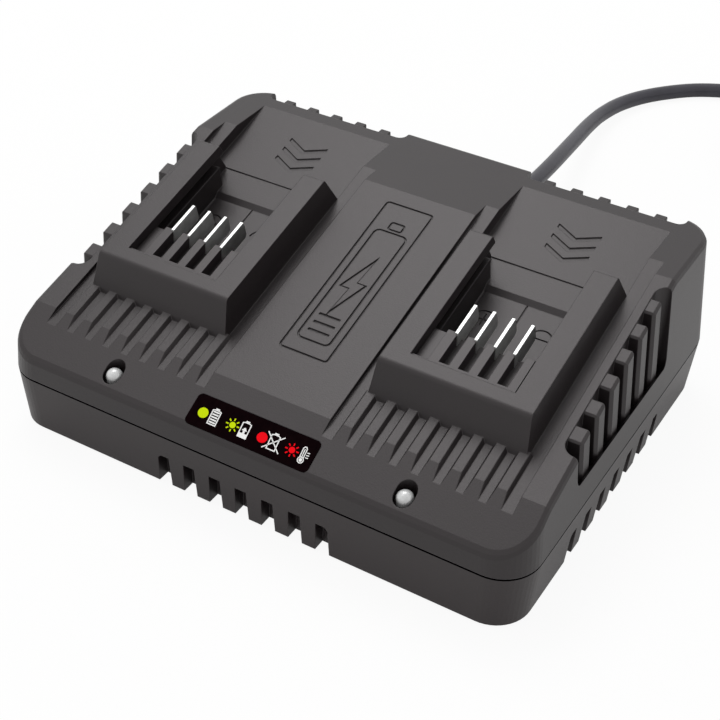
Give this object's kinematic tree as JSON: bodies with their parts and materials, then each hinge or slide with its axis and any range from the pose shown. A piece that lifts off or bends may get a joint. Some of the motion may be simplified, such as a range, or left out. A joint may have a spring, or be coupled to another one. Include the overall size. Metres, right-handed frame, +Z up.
{
  "type": "power tool battery charger",
  "caption": "Wedge-shaped mains charger case with side-by-side bays for slide-on battery packs, vents all round and a mains lead at the back.",
  "frame": {"origin": "centre of the case's footprint, on the plane that its rubber feet stand on", "axes": "+X to the right seen from the front, +Y towards the back where the mains lead leaves, +Z up"},
  "size_m": [0.3106, 0.4198, 0.0789],
  "materials": {
    "charcoal_plastic": "moulded glass-filled nylon, fine texture",
    "dark_plastic": "moulded glass-filled nylon, fine texture",
    "terminal_plastic": "moulded, fine texture",
    "contact_metal": "plated spring copper alloy, satin",
    "lens": "diffusing polycarbonate, polished",
    "label": "gloss film",
    "board": "solder-resist laminate",
    "emitter": "phosphor over epoxy",
    "red_wire": "extruded insulation",
    "foot_rubber": "moulded rubber",
    "screw_steel": "zinc plated",
    "header_plastic": "moulded nylon",
    "fuse_ceramic": "ceramic tube",
    "clip_metal": "pressed sheet",
    "film_box": "filled plastic box",
    "choke_coating": "coated ferrite",
    "powder_core": "coated powder core",
    "copper_wire": "enamelled copper",
    "black_epoxy": "moulded epoxy",
    "capacitor_sleeve": "shrink sleeve over aluminium",
    "heat_sink_metal": "extruded, plain",
    "ferrite": "ground ferrite",
    "bobbin_plastic": "moulded phenolic",
    "winding_tape": "polyester tape over copper",
    "relay_plastic": "moulded cover",
    "cord_sheath": "extruded flexible sheath",
    "plug_plastic": "moulded flexible plastic",
    "pin_metal": "nickel plated"
  },
  "bodies": {
    "root": {"upper_housing": "charcoal_plastic", "lower_housing": "dark_plastic", "terminal_block_left": "terminal_plastic", "terminal_block_right": "terminal_plastic", "contact_blades_left": "contact_metal", "contact_blades_right": "contact_metal", "status_lenses": "lens", "status_label": "label", "light_boards": "board", "light_emitters": "emitter", "light_leads": "red_wire", "rubber_feet": "foot_rubber", "housing_screws": "screw_steel", "main_board": "board", "board_screws": "screw_steel", "mains_header": "header_plastic", "fuse": "fuse_ceramic", "fuse_clips": "clip_metal", "film_capacitor": "film_box", "input_choke_core": "choke_coating", "input_choke_windings": "copper_wire", "bridge_rectifier": "black_epoxy", "bulk_capacitor": "capacitor_sleeve", "primary_heat_sink": "heat_sink_metal", "power_transistor": "black_epoxy", "transformer_core": "ferrite", "transformer_bobbin": "bobbin_plastic", "transformer_windings": "winding_tape", "secondary_heat_sink": "heat_sink_metal", "output_diode": "black_epoxy", "output_capacitors": "capacitor_sleeve", "output_choke_core": "powder_core", "output_choke_winding": "copper_wire", "output_relays": "relay_plastic", "controller_chip": "black_epoxy", "output_headers": "header_plastic", "output_leads": "red_wire", "cord_clamp": "terminal_plastic", "clamp_screws": "screw_steel", "inner_mains_lead": "cord_sheath", "strain_relief": "cord_sheath", "mains_cord": "cord_sheath", "cord_coil": "cord_sheath", "plug_body": "plug_plastic", "plug_pins": "pin_metal"}
  },
  "joints": []
}
